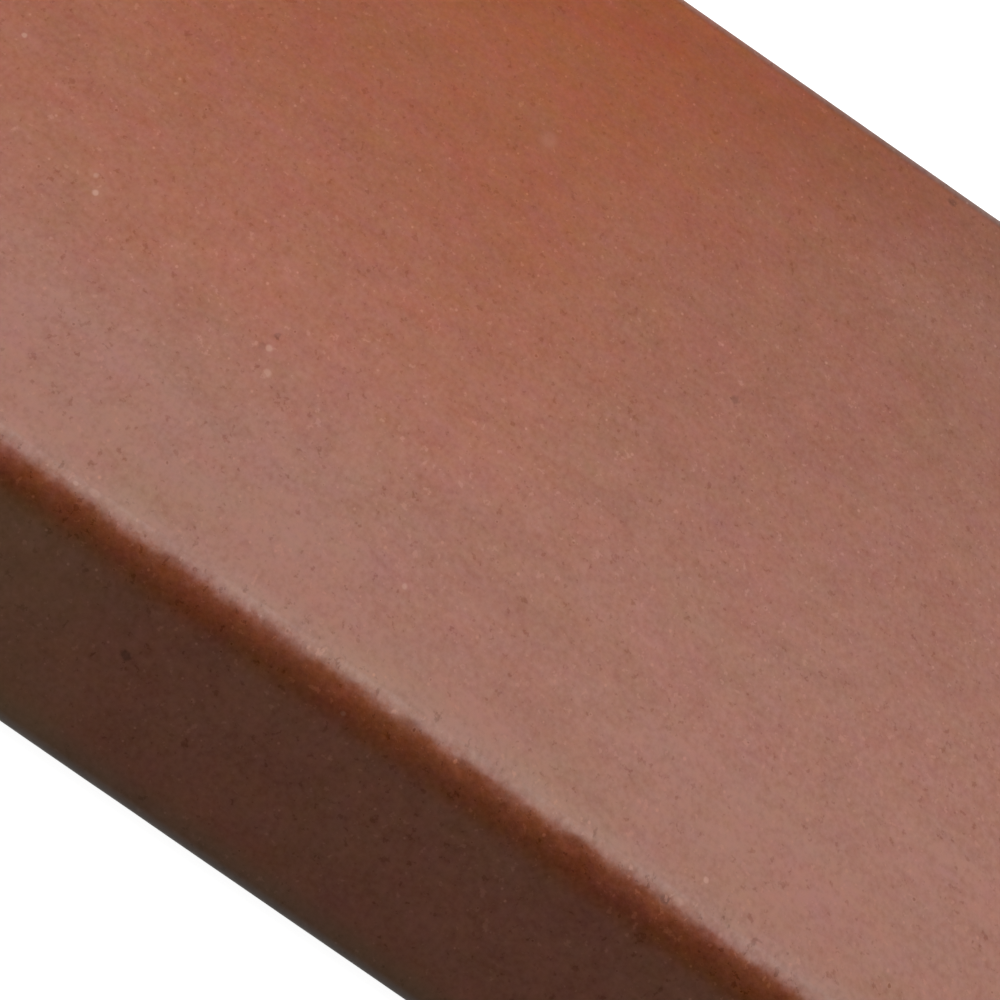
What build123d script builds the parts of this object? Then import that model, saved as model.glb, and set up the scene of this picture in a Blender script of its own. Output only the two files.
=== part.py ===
from build123d import *
import math
import os

# Stair tread of clinker clay: pushed through one die, cut to length and fired as
# one piece. X runs along the nosing, Y from the nose to the back edge, Z up.
# It is stored lying on a level floor, on the foot of its nose and its back edge.

# Driving dimensions, in millimetres
tread_length = 294.0  # along the nosing, between the two cut ends
tread_depth = 340.0  # front face of the nose to the back edge
nose_height = 35.0  # foot of the nose to the walking face
plate_thickness = 11.0  # walking face to the lands of the underside
nose_thickness = 14.0  # front face of the nose to its riser face
nosing_radius = 6.0  # walking face into front face
inner_corner_radius = 8.0  # under the plate, at the root of the nose
arris_radius = 1.5  # the other long edges, as the die leaves them
end_easing = 0.8  # cut ends, where they meet the faces that show

# Keying grooves along the underside: dovetails that the bedding mortar grips
groove_mouth = 8.0
groove_depth = 2.0
groove_undercut = 0.8  # each side leans this far out under its land
groove_lip_radius = 0.4
groove_root_radius = 0.6
groove_pitch = 18.0
groove_margin = 6.0  # plain land beside the nose's root and the back edge

underside = nose_height - plate_thickness


def groove_centres():
    """Middles of the grooves, as many pitches as fit between the two margins."""
    front = nose_thickness + inner_corner_radius + groove_margin
    back = tread_depth - groove_margin
    gaps = math.floor((back - front - groove_mouth) / groove_pitch)
    first = (front + back - gaps * groove_pitch) / 2
    return [first + gap * groove_pitch for gap in range(gaps + 1)]


def closed_face(corners):
    """Face in the section's plane whose corners, given with radii, are rounded."""
    points, radii = zip(*corners)
    with BuildSketch(Plane.YZ) as sketch:
        with BuildLine():
            FilletPolyline(*points, radius=radii, close=True)
        make_face()
    return sketch.sketch


def outline():
    """The plate with its deep nose in front, before its grooves."""
    return closed_face(
        [
            ((0, 0), arris_radius),
            ((0, nose_height), nosing_radius),
            ((tread_depth, nose_height), arris_radius),
            ((tread_depth, underside), arris_radius),
            ((nose_thickness, underside), inner_corner_radius),
            ((nose_thickness, 0), arris_radius),
        ]
    )


def groove(centre):
    """One dovetail, wider at its root than at its mouth, with its lips rounded."""
    mouth = groove_mouth / 2
    root = mouth + groove_undercut
    lip = mouth + groove_depth
    top = underside + groove_depth
    below = underside - groove_depth
    return closed_face(
        [
            ((centre - lip, below), 0),
            ((centre - lip, underside), 0),
            ((centre - mouth, underside), groove_lip_radius),
            ((centre - root, top), groove_root_radius),
            ((centre + root, top), groove_root_radius),
            ((centre + mouth, underside), groove_lip_radius),
            ((centre + lip, underside), 0),
            ((centre + lip, below), 0),
        ]
    )


def stair_tread():
    """The outline run out to both sides, its cut ends eased, its grooves cut."""
    with BuildPart() as part:
        extrude(outline(), amount=tread_length / 2, both=True)
        ends = part.faces().sort_by(Axis.X)
        fillet(ends[0].edges() + ends[-1].edges(), end_easing)
        for centre in groove_centres():
            extrude(groove(centre), amount=tread_length, both=True, mode=Mode.SUBTRACT)
    return part.part


def at_rest(solid):
    """Leant back until the back edge is down, with the origin centred underneath."""
    lean = math.degrees(math.atan2(underside, tread_depth - nose_thickness))
    leant = solid.rotate(Axis.X, -lean)
    box = leant.bounding_box()
    middle = box.center()
    return leant.translate((-middle.X, -middle.Y, -box.min.Z))


os.makedirs("parts", exist_ok=True)
export_step(at_rest(stair_tread()), "parts/stair_tread.step")
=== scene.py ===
import math

import bpy
import numpy as np
from mathutils import Matrix, Vector


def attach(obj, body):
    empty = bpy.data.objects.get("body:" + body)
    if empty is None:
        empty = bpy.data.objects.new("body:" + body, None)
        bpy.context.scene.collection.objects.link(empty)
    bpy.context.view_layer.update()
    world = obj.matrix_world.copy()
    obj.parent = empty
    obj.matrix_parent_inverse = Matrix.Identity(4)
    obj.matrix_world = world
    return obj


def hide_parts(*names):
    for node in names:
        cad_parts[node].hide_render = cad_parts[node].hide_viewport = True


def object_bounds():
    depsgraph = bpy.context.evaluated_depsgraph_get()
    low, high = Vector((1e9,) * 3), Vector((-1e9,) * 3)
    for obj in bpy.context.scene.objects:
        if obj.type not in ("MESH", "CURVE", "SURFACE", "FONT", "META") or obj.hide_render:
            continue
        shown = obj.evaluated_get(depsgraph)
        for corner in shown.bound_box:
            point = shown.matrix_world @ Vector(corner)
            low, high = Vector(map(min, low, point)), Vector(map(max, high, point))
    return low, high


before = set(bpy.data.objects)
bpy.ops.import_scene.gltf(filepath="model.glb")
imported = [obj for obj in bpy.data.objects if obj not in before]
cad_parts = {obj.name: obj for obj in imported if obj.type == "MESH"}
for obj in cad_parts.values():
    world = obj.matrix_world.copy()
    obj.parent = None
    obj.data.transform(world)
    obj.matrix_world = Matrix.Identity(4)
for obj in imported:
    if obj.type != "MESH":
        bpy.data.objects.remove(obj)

cad_low, cad_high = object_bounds()

# The tread's body
# One push of stoneware clay through a die: a thin plate runs back from a deep nose that
# drops over the edge of the step, and dovetail grooves underneath key into its mortar.
# A wire cuts both ends square, and firing leaves every face a little uneven.

mm = 0.001
tread_length = cad_high.x - cad_low.x
tread_depth = 340 * mm
nose_height = 35 * mm
plate_thickness = 11 * mm
nose_thickness = 14 * mm
nosing_radius = 6 * mm
inner_corner_radius = 8 * mm
arris_radius = 1.5 * mm
end_easing = 0.8 * mm
underside = nose_height - plate_thickness

groove_mouth = 8 * mm
groove_depth = 2 * mm
groove_undercut = 0.8 * mm
groove_lip_radius = 0.4 * mm
groove_root_radius = 0.6 * mm
groove_pitch = 18 * mm
groove_margin = 6 * mm

rounding_step = 0.4 * mm
hidden_step = 1.5 * mm
widest_step = 4.5 * mm
end_station = 0.2 * mm
widest_station = 3.0 * mm
crest_low, crest_high = -8 * mm, 16 * mm
finer = 5
counting_places = 2000
tolerance = 1e-6
sharp_angle = 30


def graded(length, fine, coarse, growth=0.3):
    """Places from 0 to length, close together at both ends.

    The spacing grows in step with the distance from the nearer end, from fine up to coarse.
    The running sum of 1 / spacing counts the places, and is read backwards at whole numbers.
    """
    place = np.linspace(0, length, counting_places)
    spacing = np.minimum(fine + growth * np.minimum(place, length - place), coarse)
    count = np.concatenate([[0], np.cumsum(np.diff(place) / spacing[1:])])
    steps = max(round(count[-1]), 1)
    return np.interp(np.linspace(0, count[-1], steps + 1), count, place)


def rounded_outline(corners, radii):
    """Closed outline of a polygon whose corners are arcs, clockwise in the YZ plane.

    At each corner the arc touches both sides at radius * tan(half the turn), so its centre
    lies one radius to the inner side of that point. Between arcs the run is graded, and
    finer on the two faces that show most, from the front foot to the back.
    Returns the points, and for each point the number of the corner before it.
    """
    corners = np.array(corners)
    radii = np.array(radii)
    ahead = np.roll(corners, -1, axis=0) - corners
    lengths = np.linalg.norm(ahead, axis=1)
    ahead = ahead / lengths[:, None]
    behind = np.roll(ahead, 1, axis=0)
    cross = behind[:, 0] * ahead[:, 1] - behind[:, 1] * ahead[:, 0]
    turn = np.arctan2(cross, (behind * ahead).sum(axis=1))
    touch = radii * np.tan(np.abs(turn) / 2)
    side = np.sign(turn)[:, None] * np.stack([-behind[:, 1], behind[:, 0]], axis=1)
    start = corners - behind * touch[:, None]
    centres = start + side * radii[:, None]
    points, owners = [], []
    for number, radius in enumerate(radii):
        steps = max(2, round(abs(turn[number]) * radius / rounding_step))
        angle = turn[number] * np.linspace(0, 1, steps + 1)
        spoke = start[number] - centres[number]
        normal = np.array([-spoke[1], spoke[0]])
        arc = centres[number] + np.outer(np.cos(angle), spoke) + np.outer(np.sin(angle), normal)
        following = (number + 1) % len(radii)
        run = lengths[number] - touch[number] - touch[following]
        finest = rounding_step if number <= nosing else hidden_step
        offsets = graded(run, min(finest, run / 2), widest_step)[1:-1]
        straight = arc[-1] + np.outer(offsets, ahead[number])
        points += [arc, straight]
        owners.append(np.full(len(arc) + len(straight), number))
    return np.concatenate(points), np.concatenate(owners)


def groove_corners():
    """Corners of the dovetail grooves from the back edge forward, each with its radius."""
    front = nose_thickness + inner_corner_radius + groove_margin
    back = tread_depth - groove_margin
    gaps = math.floor((back - front - groove_mouth) / groove_pitch)
    middles = (front + back) / 2 + groove_pitch * (gaps / 2 - np.arange(gaps + 1))
    mouth = groove_mouth / 2
    root = mouth + groove_undercut
    top = underside + groove_depth
    shape = [(mouth, underside), (root, top), (-root, top), (-mouth, underside)]
    rounds = [groove_lip_radius, groove_root_radius, groove_root_radius, groove_lip_radius]
    return [((middle + y, z), r) for middle in middles for (y, z), r in zip(shape, rounds)]


front_foot, nosing, back_top, back_foot = range(4)
section = [
    ((0, 0), arris_radius),
    ((0, nose_height), nosing_radius),
    ((tread_depth, nose_height), arris_radius),
    ((tread_depth, underside), arris_radius),
    *groove_corners(),
    ((nose_thickness, underside), inner_corner_radius),
    ((nose_thickness, 0), arris_radius),
]
riser_root = len(section) - 2
outline, corner_before = rounded_outline(*zip(*section))


def outward(points):
    """Unit normals of a closed clockwise outline, square to the line between neighbours."""
    along = np.roll(points, -1, axis=0) - np.roll(points, 1, axis=0)
    normals = np.stack([-along[:, 1], along[:, 0]], axis=1)
    return normals / np.linalg.norm(normals, axis=1, keepdims=True)


def value_noise(points, cell, seed):
    """Random numbers from -1 to 1 at the corners of cubes, blended inside each cube.

    The weight of a corner is 3t^2 - 2t^3 along each axis, t being the way across the cube.
    """
    place = (points - points.min(axis=(0, 1))) / cell
    whole = np.floor(place).astype(int)
    part = place - whole
    weight = part * part * (3 - 2 * part)
    lattice = np.random.default_rng(seed).uniform(-1, 1, whole.max(axis=(0, 1)) + 2)
    total = np.zeros(points.shape[:2])
    for corner in np.ndindex(2, 2, 2):
        share = np.where(corner, weight, 1 - weight).prod(axis=2)
        index = whole + corner
        total += share * lattice[index[..., 0], index[..., 1], index[..., 2]]
    return total


def dents(points, centres, radii, depths):
    """Depth of small chips: inside its radius each is a bowl, depth * (1 - (d / radius)^2)."""
    away = np.linalg.norm(points[:, :, None] - centres, axis=3) / radii
    return (depths * np.clip(1 - away ** 2, 0, None)).sum(axis=2)


rough_station = graded(tread_length, end_station, widest_station) - tread_length / 2
rough_steps = len(rough_station) - 1
fine_count = np.arange(rough_steps * finer + 1) / finer
station = np.interp(fine_count, np.arange(rough_steps + 1), rough_station)
gaps = np.linalg.norm(np.roll(outline, -1, axis=0) - outline, axis=1)
around = np.concatenate([[0], np.cumsum(gaps[:-1])])
crest_start = around[np.argmax(corner_before == nosing)]
around -= crest_start
around[corner_before >= riser_root] -= gaps.sum()

crest_middle, crest_reach = (crest_low + crest_high) / 2, (crest_high - crest_low) / 2
first_on_crest = np.argmax(np.abs(around - crest_middle) < crest_reach)
outline, around, corner_before = (
    np.roll(values, -first_on_crest, axis=0) for values in (outline, around, corner_before)
)
normals = outward(outline)
on_crest = np.count_nonzero((around > crest_low) & (around < crest_high))

level = np.empty((len(station), len(outline), 3))
level[..., 0] = station[:, None]
level[..., 1:] = outline

outer_face = (corner_before <= back_foot) | (corner_before >= riser_root)
from_end = tread_length / 2 - np.abs(station)
rise = np.clip(end_easing - from_end, 0, None)
easing = end_easing - np.sqrt(end_easing ** 2 - rise ** 2)

nosing_middle = nosing_radius * math.pi / 4
nosing_spread = 5 * mm
on_nosing = np.exp(-((around - nosing_middle) / nosing_spread) ** 2)

# Each layer of unevenness: half of its depth, the size of its cells and its seed.
layers = [
    (0.03 * mm, 45 * mm, 1),
    (0.015 * mm, 9 * mm, 2),
    ((0.01 + 0.11 * on_nosing) * mm, 3.5 * mm, 3),
    (0.035 * mm * on_nosing, 1.9 * mm, 5),
]
unevenness = sum(depth * (1 + value_noise(level, cell, seed)) for depth, cell, seed in layers)

# Small chips along the crest, one of them where the photographed tread has its bite.
chance = np.random.default_rng(4)
chips = 14
notch_place = 45.4 * mm
chip_reach_share = 0.49
crest_inset = 0.3 * nosing_radius
least_radius, most_radius = 1.3, 2.4
least_depth, most_depth = 0.08, 0.28

crest = np.array([0, crest_inset, nose_height - crest_inset])
chip_places = chance.uniform(-chip_reach_share, chip_reach_share, chips) * tread_length
chip_places[0] = notch_place
chip_centres = crest + np.outer(chip_places, [1, 0, 0])
chip_radii = chance.uniform(least_radius, most_radius, chips) * mm
chip_depths = chance.uniform(least_depth, most_depth, chips) * mm
unevenness += dents(level, chip_centres, chip_radii, chip_depths)

inset = easing[:, None] * outer_face + unevenness
level[..., 1:] -= inset[..., None] * normals

# Lying loose, the tread leans back until the foot of its nose and its back edge are down.
lean = math.atan2(underside, tread_depth - nose_thickness)
leaning = np.array([[math.cos(lean), math.sin(lean)], [-math.sin(lean), math.cos(lean)]])
flat_edge = np.array([arris_radius, arris_radius])
foremost = (leaning @ flat_edge)[0] - arris_radius
back_middle = np.array([tread_depth - arris_radius, nose_height - arris_radius])
hindmost = (leaning @ back_middle)[0] + arris_radius
lowest = (leaning @ [nose_thickness - arris_radius, arris_radius])[1] - arris_radius
standing = np.array([(foremost + hindmost) / 2, lowest])
vertices = level.copy()
vertices[..., 1:] = level[..., 1:] @ leaning.T - standing


def quads(numbers):
    """Quads between the neighbours in a grid of vertex numbers."""
    corners = [numbers[:-1, :-1], numbers[1:, :-1], numbers[1:, 1:], numbers[:-1, 1:]]
    return np.stack(corners, axis=2).reshape(-1, 4)


# The crest's columns use every station and come first. The other columns use every fifth one,
# and a face with more corners joins each of their steps to the crest's finer ones.
used = np.zeros((len(station), len(outline)), dtype=bool)
used[:, :on_crest] = True
used[::finer] = True
numbers = used.cumsum().reshape(used.shape) - 1
fine_quads = quads(numbers[:, :on_crest])
rough_quads = quads(numbers[::finer, on_crest:])
step = np.arange(0, len(station) - 1, finer)[:, None]
fine_run = step + np.arange(finer + 1)
fine_behind, fine_before = numbers[fine_run, on_crest - 1], numbers[fine_run[:, ::-1], 0]
behind_crest = np.hstack([numbers[step + finer, on_crest], numbers[step, on_crest], fine_behind])
before_crest = np.hstack([numbers[step, -1], numbers[step + finer, -1], fine_before])
seams = np.concatenate([behind_crest, before_crest])
ends = [numbers[0].tolist(), numbers[-1, ::-1].tolist()]
faces = [*fine_quads.tolist(), *rough_quads.tolist(), *seams.tolist(), *ends]

mesh = bpy.data.meshes.new("stair_tread_body")
mesh.from_pydata(vertices[used].tolist(), [], faces)
spread = mesh.attributes.new("around", "FLOAT", "POINT")
spread.data.foreach_set("value", np.broadcast_to(around / mm, used.shape)[used])
skin, keyed, cut = range(3)
bedded = (np.abs(outline[:, 1] - underside) < tolerance) | ~outer_face
slots = np.where(bedded, keyed, skin)[on_crest:-1]
on_fine, on_seams = np.full(len(fine_quads), skin), np.full(len(seams), skin)
slot_of_face = np.concatenate([on_fine, np.tile(slots, rough_steps), on_seams, [cut, cut]])
mesh.polygons.foreach_set("material_index", slot_of_face.astype(np.int32))
smooth = np.ones(len(slot_of_face), dtype=bool)
smooth[-2:] = False
mesh.polygons.foreach_set("use_smooth", smooth)
mesh.set_sharp_from_angle(angle=math.radians(sharp_angle))
mesh.update()

tread = bpy.data.objects.new("clinker_tread", mesh)
bpy.context.collection.objects.link(tread)
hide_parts("stair_tread")
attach(tread, "root")

# The fired clay
# The same iron-rich stoneware clay shows on every face, so its grain and its colour are node
# groups that all of the tread's materials share. Places and heights in them are in millimetres.

grain_height, fleck_depth = 0.030, 0.035
grain_cell = 0.95
grain_stretch = 2.6
cloud_stretch = 1.5
fleck_cell = 1.5
cloud_cell = 7.0
drift_cell = 34.0
hue_cell = 7.0
patch_cell = 19.0
pit_cell = 3.0
pit_radius = 0.34
speck_cell = 2.8
speck_radius = 0.36
grey_clay = (0.262, 0.0792, 0.0408, 1)
orange_clay = (0.294, 0.0748, 0.0162, 1)
olive_tint = (0.94, 1.096, 0.69, 1)
rosy_tint = (1.06, 0.904, 1.31, 1)
grain_paling = (0.0, 0.03, 0.03)
clay_roughness = 0.8
clay_specular = 0.02
sheen_roughness = 0.45

# Where each mask starts and ends, in the noise's own height or in the dot's radius.
dark_fleck, pale_fleck = (-0.38, -0.60), (0.42, 0.64)
pit_edge, rim_in, rim_out, speck_edge = (0.45, 0.85), (0.6, 1.0), (1.0, 1.5), (0.4, 1.0)
pit_raggedness, pit_share, speck_share = 0.45, 0.5, 0.7

# Moves that keep the noises and the dots apart.
fleck_move, speck_move = (9.0, 31.0, 3.0), (17.0, 5.0, 3.0)
warmth_move, rosiness_move, patch_move = (41.0, 7.0, 29.0), (3.0, 57.0, 11.0), (23.0, 2.0, 47.0)


def add(tree, kind, inputs=None, **settings):
    """A new node with its settings, whose inputs are plain values or other nodes' outputs."""
    node = tree.nodes.new(kind)
    for name, value in settings.items():
        setattr(node, name, value)
    for name, value in (inputs or {}).items():
        if isinstance(value, bpy.types.NodeSocket):
            tree.links.new(value, node.inputs[name])
        else:
            node.inputs[name].default_value = value
    return node


def maths(tree, operation, first, second=0.0, clamp=False):
    """One Math node's result."""
    node = add(tree, "ShaderNodeMath", {0: first, 1: second}, operation=operation, use_clamp=clamp)
    return node.outputs[0]


def total(tree, *parts):
    """The sum of values, each a plain number, an output, or an output with its factor."""
    result = 0.0
    for part in parts:
        if isinstance(part, tuple):
            part = maths(tree, "MULTIPLY", *part)
        result = maths(tree, "ADD", part, result)
    return result


def product(tree, first, *others):
    """The product of values."""
    result = first
    for other in others:
        result = maths(tree, "MULTIPLY", result, other)
    return result


def along(tree, value, start, stop, first=0.0, last=1.0):
    """Goes smoothly from first to last while the value goes from start to stop."""
    inputs = {"Value": value, "From Min": start, "From Max": stop, "To Min": first, "To Max": last}
    return add(tree, "ShaderNodeMapRange", inputs, interpolation_type="SMOOTHSTEP").outputs[0]


def noise(tree, place, cell, detail=2.0, roughness=0.55):
    """Noise from about -1 to 1, with features of about one cell."""
    inputs = {"Vector": place, "Scale": 1 / cell, "Detail": detail, "Roughness": roughness}
    texture = add(tree, "ShaderNodeTexNoise", inputs).outputs[0]
    reach = {"Value": texture, "From Min": 0.2, "From Max": 0.8, "To Min": -1.0, "To Max": 1.0}
    return add(tree, "ShaderNodeMapRange", reach, clamp=False).outputs[0]


def vector_maths(tree, operation, first, second):
    """One Vector Math node's vector."""
    return add(tree, "ShaderNodeVectorMath", {0: first, 1: second}, operation=operation).outputs[0]


def vector_value(tree, operation, first, second):
    """One Vector Math node's number, such as a distance."""
    node = add(tree, "ShaderNodeVectorMath", {0: first, 1: second}, operation=operation)
    return node.outputs["Value"]


def scaled(tree, vector, factor):
    """A vector or a colour times one number."""
    node = add(tree, "ShaderNodeVectorMath", {0: vector}, operation="SCALE")
    if isinstance(factor, bpy.types.NodeSocket):
        tree.links.new(factor, node.inputs["Scale"])
    else:
        node.inputs["Scale"].default_value = factor
    return node.outputs[0]


def mixed(tree, share, first, second, kind="RGBA"):
    """From the first to the second by a share: colours, or values where the kind is FLOAT."""
    places = {"RGBA": (6, 7, 2), "FLOAT": (2, 3, 0)}[kind]
    inputs = {0: share, places[0]: first, places[1]: second}
    return add(tree, "ShaderNodeMix", inputs, data_type=kind).outputs[places[2]]


def node_group(name, inputs, outputs):
    """An empty node group with these sockets: its tree, its inputs and its outputs."""
    tree = bpy.data.node_groups.new(name, "ShaderNodeTree")
    for way, sockets in (("INPUT", inputs), ("OUTPUT", outputs)):
        for title, kind in sockets.items():
            tree.interface.new_socket(name=title, in_out=way, socket_type="NodeSocket" + kind)
    return tree, add(tree, "NodeGroupInput").outputs, add(tree, "NodeGroupOutput").inputs


def placed(tree, group, inputs):
    """A node that uses a node group: its outputs."""
    node = add(tree, "ShaderNodeGroup", node_tree=group)
    for name, value in inputs.items():
        tree.links.new(value, node.inputs[name])
    return node.outputs


def dots(tree, place, cell, radius, share):
    """Distance from the middle of a scattered dot, as a share of its radius, and its mask.

    A Voronoi texture has one dot in each cell. Only a share of the cells keep theirs.
    """
    cells = add(tree, "ShaderNodeTexVoronoi", {"Vector": place, "Scale": 1 / cell})
    chance = add(tree, "ShaderNodeSeparateColor", {0: cells.outputs["Color"]}).outputs
    size = along(tree, chance[1], 0.0, 1.0, 0.5 * radius / cell, radius / cell)
    away = maths(tree, "DIVIDE", cells.outputs["Distance"], size)
    return away, maths(tree, "LESS_THAN", chance[0], share)


clay_grain, given, result = node_group(
    "clay_grain",
    {"Place": "Vector"},
    {"Tone": "Float", "Warmth": "Float", "Rosiness": "Float", "Height": "Float"},
)
place = vector_maths(clay_grain, "MULTIPLY", given["Place"], (1.0, 1 / grain_stretch, 1.0))
fleck_place = vector_maths(clay_grain, "ADD", place, fleck_move)
speck_place = vector_maths(clay_grain, "ADD", place, speck_move)
fine = noise(clay_grain, place, grain_cell, 2.0, 0.6)
flecks = noise(clay_grain, fleck_place, fleck_cell, 3.0, 0.65)
dark_flecks = along(clay_grain, flecks, *dark_fleck)
pale_flecks = along(clay_grain, flecks, *pale_fleck)

wide_place = vector_maths(clay_grain, "MULTIPLY", given["Place"], (1.0, 1 / cloud_stretch, 1.0))
warmth_place = vector_maths(clay_grain, "ADD", wide_place, warmth_move)
rosiness_place = vector_maths(clay_grain, "ADD", wide_place, rosiness_move)
patch_place = vector_maths(clay_grain, "ADD", wide_place, patch_move)
cloud = noise(clay_grain, wide_place, cloud_cell, 3.0, 0.7)
drift = noise(clay_grain, given["Place"], drift_cell, 2.0, 0.5)

away, kept = dots(clay_grain, place, pit_cell, pit_radius, pit_share)
away = total(clay_grain, away, (fine, pit_raggedness))
pits = product(clay_grain, along(clay_grain, away, *pit_edge, 1.0, 0.0), kept)
rims = product(clay_grain, along(clay_grain, away, *rim_in), along(clay_grain, away, *rim_out, 1.0, 0.0))
rims = product(clay_grain, rims, kept)
away, kept = dots(clay_grain, speck_place, speck_cell, speck_radius, speck_share)
specks = product(clay_grain, along(clay_grain, away, *speck_edge, 1.0, 0.0), kept)

# How strongly each mark changes the tone. The pits and specks are too small for their own
# height to show, so only the grain and the dark flecks stand up or lie deeper.
tone = total(
    clay_grain,
    (fine, 0.10),
    (pale_flecks, 0.18),
    (dark_flecks, -0.13),
    (cloud, 0.068),
    (drift, 0.03),
    (pits, -0.15),
    (rims, 0.09),
    (specks, 0.30),
    1.0,
)
height = total(clay_grain, (fine, grain_height), (dark_flecks, -fleck_depth))
warmth = noise(clay_grain, warmth_place, hue_cell, 4.0, 0.8)
rosiness = noise(clay_grain, rosiness_place, hue_cell, 4.0, 0.8)
patches = noise(clay_grain, patch_place, patch_cell, 1.0, 0.5)
clay_grain.links.new(tone, result["Tone"])
clay_grain.links.new(height, result["Height"])
clay_grain.links.new(total(clay_grain, warmth, (patches, 0.15)), result["Warmth"])
clay_grain.links.new(total(clay_grain, rosiness, (patches, 0.42)), result["Rosiness"])

fired_colour, given, result = node_group(
    "fired_colour",
    {"Tone": "Float", "Grain": "Float", "Warmth": "Float", "Rosiness": "Float"},
    {"Color": "Color"},
)
clay = mixed(fired_colour, total(fired_colour, (given["Warmth"], 0.5), 0.5), grey_clay, orange_clay)
tint = mixed(fired_colour, total(fired_colour, (given["Rosiness"], 0.5), 0.5), olive_tint, rosy_tint)
clay = scaled(fired_colour, vector_maths(fired_colour, "MULTIPLY", clay, tint), given["Grain"])
paler = scaled(fired_colour, grain_paling, total(fired_colour, given["Grain"], -1.0))
clay = vector_maths(fired_colour, "ADD", clay, paler)
fired_colour.links.new(scaled(fired_colour, clay, given["Tone"]), result["Color"])


def clay_colour(tree, grain, tone, grain_tone, rosiness=None):
    """The clay's colour at a tone. Its pale grains are greyer than its dark ones."""
    hues = {"Warmth": grain["Warmth"], "Rosiness": rosiness or grain["Rosiness"]}
    return placed(tree, fired_colour, {"Tone": tone, "Grain": grain_tone, **hues})["Color"]


def clay_material(name):
    """A material on the tread: its tree, its shader and Object coordinates in millimetres."""
    material = bpy.data.materials.new(name)
    material.use_nodes = True
    mesh.materials.append(material)
    tree = material.node_tree
    place = add(tree, "ShaderNodeTexCoord").outputs["Object"]
    shader = tree.nodes["Principled BSDF"]
    shader.inputs["Roughness"].default_value = clay_roughness
    shader.inputs["Specular IOR Level"].default_value = clay_specular
    shader.inputs["Coat Roughness"].default_value = sheen_roughness
    return tree, shader, scaled(tree, place, 1 / mm)


def finish_clay(tree, shader, colour, height):
    """Gives the shader its colour and, from heights in millimetres, its bump."""
    tree.links.new(colour, shader.inputs["Base Color"])
    bump = add(tree, "ShaderNodeBump", {"Strength": 1.0, "Distance": 1 * mm, "Height": height})
    tree.links.new(bump.outputs[0], shader.inputs["Normal"])


# The fired skin
# The faces that the die smoothed and the kiln's gases reached. Vapour in the kiln leaves
# a thin sheen on the walking face that fades to bare orange at the back on one side.

# Places are in millimetres: x runs along the nosing, y back from the front face, and across
# follows the section, from 0 where the nosing's rounding starts up to the back edge, and
# below 0 down the front face and under the foot. Each pair says where a change starts and
# where it ends.
level_front = 169.0
edge_cell, edge_drift_x, edge_drift_y = 40.0, 8.0, 12.0
ragged_cell, ragged_depth = 2.9, 1.95
lowered_x, lowered_depth = (10.0, 65.0), 0.4
marks_on_top = 10.0

foot_turn = (-31.5, -29.5)
foot_painted_shade = (-27.9, -22.6)
foot_painted_sheen_across = (-26.8, -28.6)
foot_film = (-22.5, -26.5)
film_end = (-30.5, -28.5)
stripe = (-2.3, 1.9)
front_end = (-2.3, 2.4)
rounding = (3.5, 7.4)
top_start = (9.0, 30.0)
back_turn = (342.6, 344.3)
rim_sheen_across = (338.5, 342.0)
rim_painted_shade_across = (337.8, 340.8)

front_sheen, riser_sheen_share = 0.545, 0.3
front_painted_shade_tone, front_tone_high = 0.62, 1.01
foot_painted_shade_tone, riser_tone = 0.56, 0.5
top_tone_plain = 0.885
# The grey of the painted sheen at the foot and behind the crest.
painted_sheen_grey = (0.38, 0.36, 0.34, 1)
olive_film = (0.19, 0.145, 0.055, 1)
pale_sand = (0.45, 0.21, 0.14, 1)

# Pale grains of sand in the face and dark flaws, where the photographed tread has them: the
# place along the nosing and the way around it, the radius, and how strongly each shows.
sand_grains = [
    (-76.0, 104.0, 0.5, 0.6),
    (-74.4, 98.3, 0.6, 1.0),
    (-40.4, 86.8, 0.6, 0.7),
    (-38.7, 78.3, 0.7, 0.6),
    (-97.7, 135.1, 0.5, 0.8),
    (-20.6, 235.2, 1.7, 0.2),
    (-6.3, 41.9, 0.5, 0.5),
    (49.6, 17.0, 0.45, 0.6),
    (-52.3, 7.2, 0.5, 0.6),
    (-49.4, 7.7, 0.9, 0.4),
    (47.2, 6.9, 0.9, 0.35),
    (-4.9, 1.5, 0.4, 0.35),
]
flaws = [
    (-40.5, 92.9, 0.5, 0.25),
    (-41.5, 85.7, 0.6, 0.15),
    (26.1, 182.7, 0.8, 0.25),
    (48.1, 335.3, 1.0, 0.35),
    (45.4, 6.0, 0.8, 0.35),
    (-33.4, -9.7, 0.85, 0.4),
]
mark_edge, mark_raggedness, flaw_dulling = (0.5, 1.2), 3.0, 0.8

tree, shader, place = clay_material("fired_skin")
spot = add(tree, "ShaderNodeSeparateXYZ", {0: place}).outputs
across = add(tree, "ShaderNodeAttribute", attribute_name="around").outputs["Fac"]
grain = placed(tree, clay_grain, {"Place": place})
drift = noise(tree, place, edge_cell, 3.0, 0.55)
x = total(tree, spot[0], (drift, edge_drift_x))
y = total(tree, spot[1], level_front, (drift, edge_drift_y))
lower_rounding = along(tree, spot[0], *lowered_x, 0.0, lowered_depth)
ragged = total(tree, across, lower_rounding, (noise(tree, place, ragged_cell, 4.0, 0.8), ragged_depth))

flat_spot = add(tree, "ShaderNodeCombineXYZ", {0: spot[0], 1: across}).outputs[0]
far_spot = vector_maths(tree, "MULTIPLY", flat_spot, (1.0, 1 / grain_stretch, 1.0))


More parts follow.
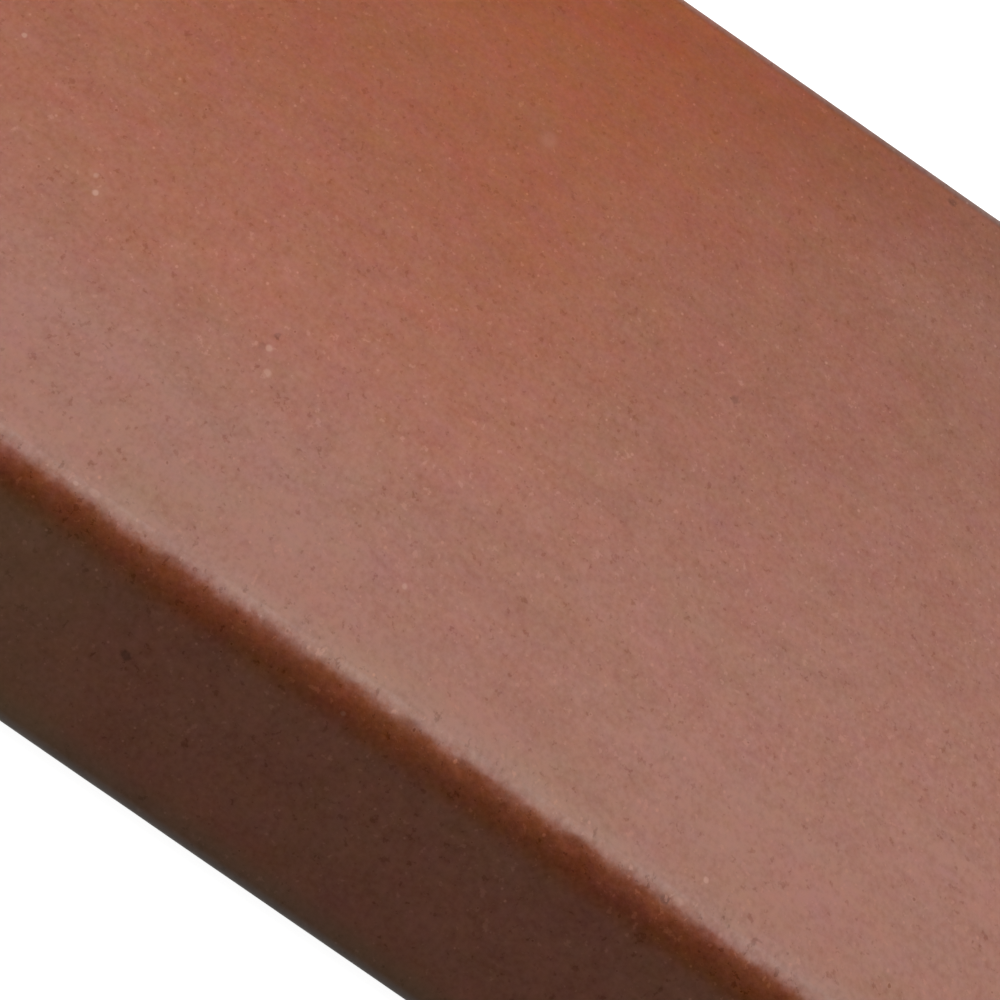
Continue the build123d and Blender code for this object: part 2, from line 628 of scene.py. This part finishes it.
def marks(places):
    """Mask of small round marks whose outlines the grain breaks up.

    Each is the distance from its middle over its radius, made uneven by the grain's tone.
    Marks on the walking face stretch as the grain there does.
    """
    shares = []
    for along_nosing, around_nosing, radius, strength in places:
        on_face = around_nosing > marks_on_top
        stretch = grain_stretch if on_face else 1.0
        middle = (along_nosing, around_nosing / stretch, 0.0)
        seen_at = far_spot if on_face else flat_spot
        away = vector_value(tree, "DISTANCE", seen_at, middle)
        away = total(tree, (away, 1 / radius), (grain["Tone"], mark_raggedness), -mark_raggedness)
        shares.append(along(tree, away, *mark_edge, strength, 0.0))
    return total(tree, *shares)


flawed = marks(flaws)

# The vapour's sheen: it weakens with the way back from the nosing, and sooner on the left.
walking_start, bare_depth, bare_fade = 45.0, 290.0, 2.2
right_of, right_reach = -15.0, 6.8
most_vapour = 0.97
back_fade_y, back_fade_share = (250.0, 340.0), 0.6
corner_x, corner_y, corner_gain = (25.0, 55.0), (245.0, 300.0), 0.35
thin_x_in, thin_x_out = (-18.0, 2.0), (46.0, 24.0)
thin_y_in, thin_y_out, thinning = (20.0, 36.0), (92.0, 64.0), 0.13
left_x, left_y_in, left_y_out, left_thinning = (-32.0, -58.0), (42.0, 72.0), (145.0, 105.0), 0.09
glare_start, glare_end, glare_share = (6.0, 7.1), (7.6, 8.7), 0.86
rim_gain = 0.6

side = maths(tree, "MAXIMUM", total(tree, x, -right_of), 0.0)
reach = total(tree, bare_depth, (side, right_reach))
bareness = maths(tree, "MAXIMUM", maths(tree, "DIVIDE", total(tree, y, -walking_start), reach), 0.0)
vapour = product(tree, maths(tree, "EXPONENT", product(tree, bareness, -bare_fade)), most_vapour)
vapour = product(tree, vapour, along(tree, y, *back_fade_y, 1.0, back_fade_share))
corner_sheen = product(tree, along(tree, x, *corner_x), along(tree, y, *corner_y, 0.0, corner_gain))
thin_spot = product(tree, along(tree, x, *thin_x_in), along(tree, x, *thin_x_out), along(tree, y, *thin_y_in))
thin_spot = product(tree, thin_spot, along(tree, y, *thin_y_out, 0.0, thinning))
left_spot = product(tree, along(tree, x, *left_x), along(tree, y, *left_y_in), along(tree, y, *left_y_out))
vapour = product(tree, vapour, total(tree, corner_sheen, (thin_spot, -1.0), (left_spot, -left_thinning), 1.0))
risen = along(tree, ragged, *rounding)
front = along(tree, across, *front_end, front_sheen, 0.0)
front = product(tree, front, along(tree, across, *foot_turn, riser_sheen_share, 1.0))
turned_under = along(tree, across, *back_turn, 1.0, 0.0)
rim_sheen = product(tree, along(tree, across, *rim_sheen_across, 0.0, rim_gain), turned_under)
# Painted shade on the back edge's rim, where the arris turns away from the light.
rim_painted_shade = product(tree, along(tree, across, *rim_painted_shade_across), turned_under)
crest_glare = along(tree, across, *glare_start, 1.0, glare_share)
crest_glare = product(tree, crest_glare, along(tree, across, *glare_end, 1.0, 1.0 / glare_share))
sheen = total(tree, product(tree, vapour, risen, crest_glare), front, rim_sheen)
grainy = product(tree, total(tree, (grain["Tone"], 2.0), -1.0), total(tree, (flawed, -flaw_dulling), 1.0))
tree.links.new(maths(tree, "MULTIPLY", sheen, grainy, clamp=True), shader.inputs["Coat Weight"])

# The clay's tone: brighter where it is bare on the left and dimmer to the back on the right. Painted shade
# darkens the front face below the rounding, two bands on the rounding, the foot and the back edge's rim.
orange_y, orange_x = (50.0, 105.0), (-18.0, 26.0)
dim_x, dim_y = (15.0, 65.0), (60.0, 330.0)
back_y, back_tone_drop = (285.0, 325.0), -0.04
lower_rounding_painted_shade, upper_rounding_painted_shade, rounding_painted_shade_drop = (3.0, 4.6), (5.2, 7.4), -0.06
left_front_x, left_front_gain = (-35.0, -75.0), 0.04

orange = product(tree, along(tree, y, *orange_y), along(tree, x, *orange_x, 1.0, 0.0))
dim = product(tree, along(tree, x, *dim_x), along(tree, y, *dim_y))
top_tone = total(
    tree,
    top_tone_plain,
    (orange, 0.16),
    (dim, -0.12),
    (left_spot, 0.03),
    # painted shade on the back edge's rim
    (rim_painted_shade, -0.33),
    along(tree, y, *back_y, 0.0, back_tone_drop),
)
front_tone = total(
    tree,
    # the front face's low tone is painted shade
    along(tree, across, *stripe, front_painted_shade_tone, front_tone_high),
    # two bands of painted shade on the rounding
    along(tree, ragged, *lower_rounding_painted_shade, 0.0, rounding_painted_shade_drop),
    along(tree, ragged, *upper_rounding_painted_shade, 0.0, rounding_painted_shade_drop),
    along(tree, spot[0], *left_front_x, 0.0, left_front_gain),
)
# Painted shade: the front grows darker towards the foot, where the floor shades it.
front_tone = product(tree, front_tone, along(tree, across, *foot_painted_shade, foot_painted_shade_tone, 1.0))
front_tone = total(tree, front_tone, along(tree, across, *reversed(foot_turn), 0.0, riser_tone))
on_top = along(tree, across, *top_start)
part_tone = mixed(tree, on_top, front_tone, top_tone, "FLOAT")

# The grain shows more on the front and most on the rounding, and the rounding is rosier.
rough_front, rough_top, rough_rounding, rough_crest = (-3.0, 1.0), (4.0, 6.0), (4.0, 8.0), (9.0, 16.0)
rosy_start, rosy_end = (0.0, 2.0), (7.6, 6.0)

roughened = total(
    tree,
    along(tree, across, *rough_front, 1.4, 1.85),
    along(tree, across, *rough_top, 0.0, 0.25),
    along(tree, across, *rough_rounding, 0.0, -0.5),
    along(tree, across, *rough_crest, 0.0, -0.6),
)
grain_tone = total(tree, product(tree, total(tree, grain["Tone"], -1.0), roughened), 1.0)
flawless = total(tree, (flawed, -1.0), 1.0)
rosy_edge = product(tree, along(tree, across, *rosy_start), along(tree, across, *rosy_end))
rosiness = total(tree, grain["Rosiness"], (rosy_edge, 0.4), (on_top, 0.25))
colour = clay_colour(tree, grain, product(tree, part_tone, flawless), grain_tone, rosiness)

# Painted sheen: a pale grey mixed in at the foot's edge and thinly behind the crest stands in for the white
# room's reflection there. An olive film lies low on the front and on its left.
foot_painted_sheen_share, crest_painted_sheen_share, foot_film_share, left_film_share = 0.45, 0.065, 0.15, 0.22
crest_painted_sheen_in, crest_painted_sheen_out = (7.4, 8.6), (8.6, 17.0)
left_film_x, left_film_across = (-28.0, -58.0), (-0.5, 3.0)

# Painted sheen at the foot's edge and behind the crest, in place of the white room's reflection.
foot_painted_sheen = along(tree, across, *foot_painted_sheen_across, 0.0, foot_painted_sheen_share)
foot_painted_sheen = product(tree, foot_painted_sheen, along(tree, across, *foot_turn))
crest_painted_sheen = along(tree, ragged, *crest_painted_sheen_in, 0.0, crest_painted_sheen_share)
crest_painted_sheen = product(tree, crest_painted_sheen, along(tree, ragged, *crest_painted_sheen_out, 1.0, 0.0))
left_film = along(tree, spot[0], *left_film_x, 0.0, left_film_share)
left_film = product(tree, left_film, along(tree, across, *left_film_across, 1.0, 0.0))
film = total(tree, along(tree, across, *foot_film, 0.0, foot_film_share), left_film)
film = product(tree, film, along(tree, across, *film_end))
colour = mixed(tree, film, colour, olive_film)
colour = mixed(tree, marks(sand_grains), colour, pale_sand)
colour = mixed(tree, total(tree, foot_painted_sheen, crest_painted_sheen), colour, painted_sheen_grey)
finish_clay(tree, shader, colour, grain["Height"])

# The keyed underside
# The grooved face that lies in the bed of mortar. It keeps the drag marks of the die's
# cores, and dry kiln sand clings to it.

streak_cell, streak_pull = 1.6, 0.04
streak_tone, streak_height = 0.08, 0.03
dust_cell, dust_edge, most_dust, dust_height = 2.2, (0.1, 0.9), 0.5, 0.05
underside_tone, underside_sheen = 0.9, 0.05
kiln_sand = (0.36, 0.22, 0.14, 1)

tree, shader, place = clay_material("keyed_underside")
grain = placed(tree, clay_grain, {"Place": place})
streaks = noise(tree, vector_maths(tree, "MULTIPLY", place, (streak_pull, 1.0, 1.0)), streak_cell, 3.0, 0.6)
dust = along(tree, noise(tree, place, dust_cell, 4.0, 0.7), *dust_edge, 0.0, most_dust)
tone = total(tree, (streaks, streak_tone), underside_tone)
colour = clay_colour(tree, grain, tone, grain["Tone"])
height = total(tree, grain["Height"], (streaks, streak_height), (dust, dust_height))
finish_clay(tree, shader, mixed(tree, dust, colour, kiln_sand), height)
shader.inputs["Coat Weight"].default_value = underside_sheen

# The wire-cut ends
# A taut wire pulls through the soft column at both ends and drags its coarse grains down,
# so the ends are rougher and show the darker core of the clay.

line_cell, line_pull, line_tone, line_height = 0.9, 0.06, 0.10, 0.06
tear_cell, tear_radius, tear_pull, tear_share = 2.1, 0.5, 0.35, 0.5
tear_edge, tear_raggedness, tear_line, tear_tone, tear_depth = (0.3, 1.0), 3.0, 0.3, -0.35, -0.16
core_edge, core_cell, core_raggedness, core_share = (1.6, 4.4), 9.0, 0.8, 0.3
rim_tone, core_tone, end_tone, end_sheen = 1.08, 0.86, 0.92, 0.05
core_grey = (0.115, 0.075, 0.052, 1)

tree, shader, place = clay_material("wire_cut_end")
grain = placed(tree, clay_grain, {"Place": place})
lines = noise(tree, vector_maths(tree, "MULTIPLY", place, (1.0, 1.0, line_pull)), line_cell, 3.0, 0.65)
tear_place = vector_maths(tree, "MULTIPLY", place, (1.0, 1.0, tear_pull))
away, kept = dots(tree, tear_place, tear_cell, tear_radius, tear_share)
away = total(tree, away, (grain["Tone"], tear_raggedness), (lines, tear_line), -tear_raggedness)
tears = product(tree, along(tree, away, *tear_edge, 1.0, 0.0), kept)

# The core starts some millimetres inside the plate and the nose. The way in is the distance
# from the nearer of two faces, taken in the tread's own level place.
shift_y, shift_z = leaning.T @ standing / mm
from_front = total(tree, vector_value(tree, "DOT_PRODUCT", place, (0, *leaning[:, 0])), shift_y)
height_level = vector_value(tree, "DOT_PRODUCT", place, (0, *leaning[:, 1]))
below_face = total(tree, (height_level, -1.0), nose_height / mm - shift_z)
in_plate = maths(tree, "MINIMUM", below_face, total(tree, (below_face, -1.0), plate_thickness / mm))
in_nose = maths(tree, "MINIMUM", from_front, total(tree, (from_front, -1.0), nose_thickness / mm))
cloudy = noise(tree, place, core_cell, 2.0, 0.6)
inside = total(tree, maths(tree, "MAXIMUM", in_plate, in_nose), (cloudy, core_raggedness))

tone = total(tree, (lines, line_tone), (tears, tear_tone), end_tone)
tone = product(tree, tone, along(tree, inside, *core_edge, rim_tone, core_tone))
colour = clay_colour(tree, grain, tone, grain["Tone"])
colour = mixed(tree, along(tree, inside, *core_edge, 0.0, core_share), colour, core_grey)
height = total(tree, grain["Height"], (lines, line_height), (tears, tear_depth))
finish_clay(tree, shader, colour, height)
shader.inputs["Coat Weight"].default_value = end_sheen

# The floor
# A plain white sheet that the loose tread lies on. It looks white to the camera and in
# reflections, apart from the tread's faint shadow, and throws little light back up. From
# below it is clear, so that the tread's underside can be seen.


def seen_directly(tree):
    """1 on rays from the camera and in reflections and glass, 0 on rays that light things."""
    path = add(tree, "ShaderNodeLightPath")
    seen = maths(tree, "MAXIMUM", path.outputs["Is Camera Ray"], path.outputs["Is Glossy Ray"])
    return maths(tree, "MAXIMUM", seen, path.outputs["Is Transmission Ray"])


floor_size = 40.0
floor_bounce = 0.35
floor_glow = 0.955
floor_shade = 0.3

corner = floor_size / 2
floor_mesh = bpy.data.meshes.new("floor")
floor_corners = [(-corner, -corner, 0), (corner, -corner, 0), (corner, corner, 0), (-corner, corner, 0)]
floor_mesh.from_pydata(floor_corners, [], [(0, 1, 2, 3)])
floor = bpy.data.objects.new("floor", floor_mesh)
bpy.context.collection.objects.link(floor)
paper = bpy.data.materials.new("white_paper")
paper.use_nodes = True
tree = paper.node_tree
tree.nodes.clear()
dull = add(tree, "ShaderNodeBsdfDiffuse", {"Color": (floor_bounce, floor_bounce, floor_bounce, 1)})
shaded = add(tree, "ShaderNodeBsdfDiffuse", {"Color": (floor_shade, floor_shade, floor_shade, 1)})
glow = add(tree, "ShaderNodeEmission", {"Color": (1, 1, 1, 1), "Strength": floor_glow})
white = add(tree, "ShaderNodeAddShader", {0: shaded.outputs[0], 1: glow.outputs[0]})
upper = add(tree, "ShaderNodeMixShader", {0: seen_directly(tree), 1: dull.outputs[0], 2: white.outputs[0]})
clear = add(tree, "ShaderNodeBsdfTransparent")
from_below = add(tree, "ShaderNodeNewGeometry").outputs["Backfacing"]
sheet = add(tree, "ShaderNodeMixShader", {0: from_below, 1: upper.outputs[0], 2: clear.outputs[0]})
add(tree, "ShaderNodeOutputMaterial", {"Surface": sheet.outputs[0]})
floor_mesh.materials.append(paper)

# The studio
# One large softbox hangs over the tread and a little behind it, and the pale room fills
# the shade. The camera and reflections see a white room.

room_fill = 0.206
softbox_place, softbox_size, softbox_watts = (0, 0.45, 1.5), 1.4, 24.0
world = bpy.data.worlds.new("white_room")
bpy.context.scene.world = world
world.use_nodes = True
tree = world.node_tree
tree.nodes.clear()
fill = add(tree, "ShaderNodeBackground", {"Color": (1, 1, 1, 1), "Strength": room_fill})
backdrop = add(tree, "ShaderNodeBackground", {"Color": (1, 1, 1, 1), "Strength": 1.0})
room = add(tree, "ShaderNodeMixShader", {0: seen_directly(tree), 1: fill.outputs[0], 2: backdrop.outputs[0]})
add(tree, "ShaderNodeOutputWorld", {"Surface": room.outputs[0]})

lamp = bpy.data.lights.new("overhead_softbox", "AREA")
lamp.shape = "SQUARE"
lamp.size = softbox_size
lamp.energy = softbox_watts
softbox = bpy.data.objects.new("overhead_softbox", lamp)
bpy.context.collection.objects.link(softbox)
softbox.location = softbox_place
softbox.rotation_euler = Vector(softbox_place).to_track_quat("Z", "Y").to_euler()
softbox.visible_camera = False

# The camera
# A long lens looks along the tread's width from low over the walking face, and the
# camera is rolled, so the long edges run down to the right and both ends lie outside.

view_distance = 1.0
view_lens = 245.556
view_elevation = 25.8314
view_turn = -3.2223
view_roll = 36.1711
aim_depth = 85.876 * mm
farthest_seen = 100

aim_level = leaning @ [aim_depth, nose_height] - standing
aim = Vector((0, *aim_level))
elevation, swing = math.radians(view_elevation), math.radians(view_turn)
flat_way = math.cos(elevation)
towards = Vector((math.sin(swing) * flat_way, -math.cos(swing) * flat_way, math.sin(elevation)))
camera = bpy.data.objects.new("camera", bpy.data.cameras.new("camera"))
bpy.context.collection.objects.link(camera)
camera.data.lens = view_lens
camera.data.clip_end = farthest_seen
upright = towards.to_track_quat("Z", "Y").to_matrix()
camera.matrix_world = (
    Matrix.Translation(aim + towards * view_distance)
    @ (upright @ Matrix.Rotation(math.radians(view_roll), 3, "Z")).to_4x4()
)
bpy.context.scene.camera = camera
bpy.context.scene.view_settings.view_transform = "Standard"
